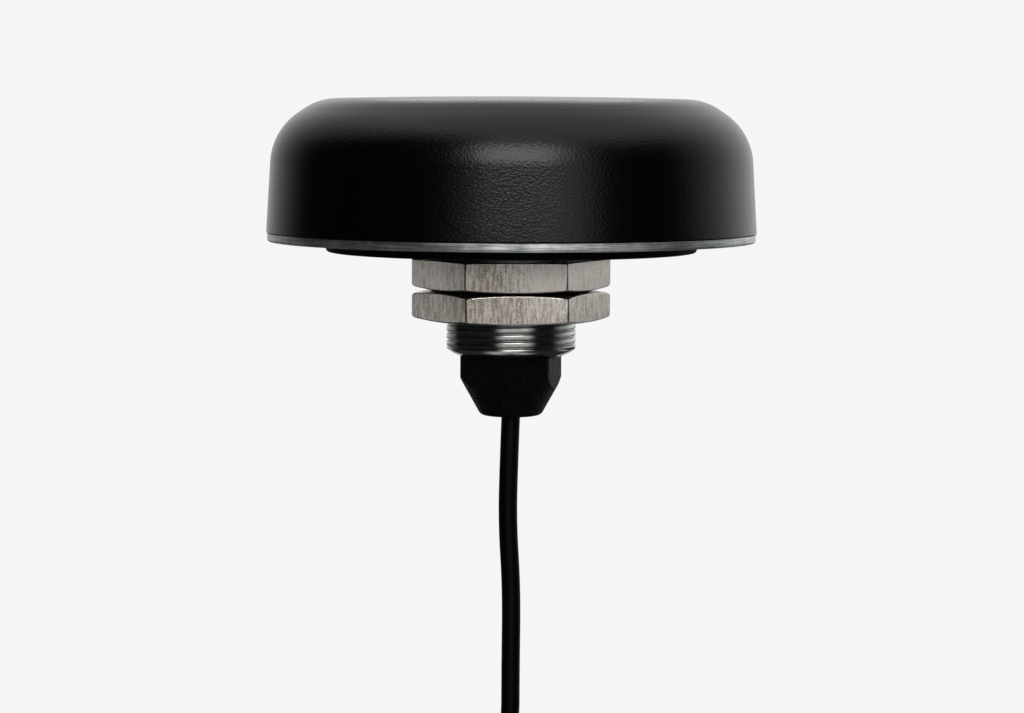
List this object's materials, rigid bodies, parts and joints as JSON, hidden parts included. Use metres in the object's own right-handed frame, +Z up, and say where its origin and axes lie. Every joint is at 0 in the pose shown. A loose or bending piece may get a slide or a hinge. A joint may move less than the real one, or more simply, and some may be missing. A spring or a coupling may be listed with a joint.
{
  "type": "gnss receiver",
  "caption": "Puck satellite positioning receiver for a panel hole: black radome, plated base with gasket, hollow threaded stem, two jam nuts, cable gland and a USB cable coiled below.",
  "frame": {"origin": "on the stem's axis, in the plane of the base gasket's underside, which rests on the panel's outer face", "axes": "+Z up the stem's axis through the radome, +X to the right and -Y towards the viewer of the front"},
  "size_m": [0.0678, 0.0678, 0.2155],
  "materials": {
    "moulded_black": "fine leather grain, satin black moulding",
    "zinc_plating": "bright zinc plating, brushed round",
    "black_rubber": "matt black rubber",
    "thread_steel": "bright plated steel, turned",
    "nut_nickel": "satin nickel, broached flats",
    "washer_steel": "bright spring steel",
    "gland_nylon": "satin black nylon",
    "board_laminate": "green solder mask, semi-gloss",
    "foam_tape": "white foam tape",
    "patch_ceramic": "fired ceramic, matt",
    "silver_print": "printed silver",
    "pin_brass": "tinned brass",
    "can_steel": "tin-plated sheet",
    "cell_steel": "nickel-plated cell",
    "connector_nylon": "natural nylon",
    "cable_jacket": "satin black jacket",
    "lead_sleeving": "coloured sleeving",
    "screw_steel": "zinc-plated steel",
    "tie_vinyl": "flat black strap",
    "plug_mould": "matt black overmould",
    "plug_steel": "nickel-plated shell",
    "tongue_plastic": "white insulator",
    "contact_gold": "gold-plated contact"
  },
  "bodies": {
    "receiver": {"radome": "moulded_black", "base_plate": "zinc_plating", "base_gasket": "black_rubber", "radome_seal": "black_rubber", "housing_screws": "screw_steel", "threaded_stem": "thread_steel", "gland_body": "gland_nylon", "gland_ring": "black_rubber", "gland_seal": "black_rubber", "antenna_board": "board_laminate", "board_screws": "screw_steel", "patch_pad": "foam_tape", "patch_antenna": "patch_ceramic", "patch_electrode": "silver_print", "feed_pin": "pin_brass", "amplifier_shield": "can_steel", "receiver_module": "can_steel", "backup_cell": "cell_steel", "board_socket": "connector_nylon", "cable_housing": "connector_nylon", "inner_leads": "lead_sleeving", "inner_cable": "cable_jacket", "cable": "cable_jacket", "cable_coil": "cable_jacket", "coil_ties": "tie_vinyl", "cable_tail": "cable_jacket", "plug_body": "plug_mould", "plug_shell": "plug_steel", "plug_tongue": "tongue_plastic", "plug_contacts": "contact_gold"},
    "washer": {"lock_washer": "washer_steel"},
    "upper_nut": {"upper_jam_nut": "nut_nickel"},
    "lower_nut": {"lower_jam_nut": "nut_nickel"},
    "clamp": {"gland_clamp": "gland_nylon"},
    "cap": {"gland_cap": "gland_nylon"}
  },
  "joints": [
    {"name": "washer_slide", "type": "slide", "parent": "receiver", "child": "washer", "axis": [0, 0, -1], "range_m": [0, 0.005]},
    {"name": "upper_nut_turn", "type": "hinge", "parent": "washer", "child": "upper_nut", "pos_m": [0, 0, -0.0011], "axis": [0, 0, -1], "range_deg": [0, 1800]},
    {"name": "lower_nut_slide", "type": "slide", "parent": "upper_nut", "child": "lower_nut", "axis": [0, 0, -1], "range_m": [0, 0.004]},
    {"name": "gland_cap_travel", "type": "slide", "parent": "receiver", "child": "clamp", "axis": [0, 0, -1], "range_m": [0, 0.004]},
    {"name": "gland_cap_turn", "type": "hinge", "parent": "clamp", "child": "cap", "pos_m": [0, 0, -0.0146], "axis": [0, 0, -1], "range_deg": [0, 1440]}
  ],
  "couplings": [
    {"joint": "washer_slide", "follows": "upper_nut_turn", "m_per_rad": 0.00015915},
    {"joint": "gland_cap_turn", "follows": "gland_cap_travel", "rad_per_m": 6283.1}
  ]
}
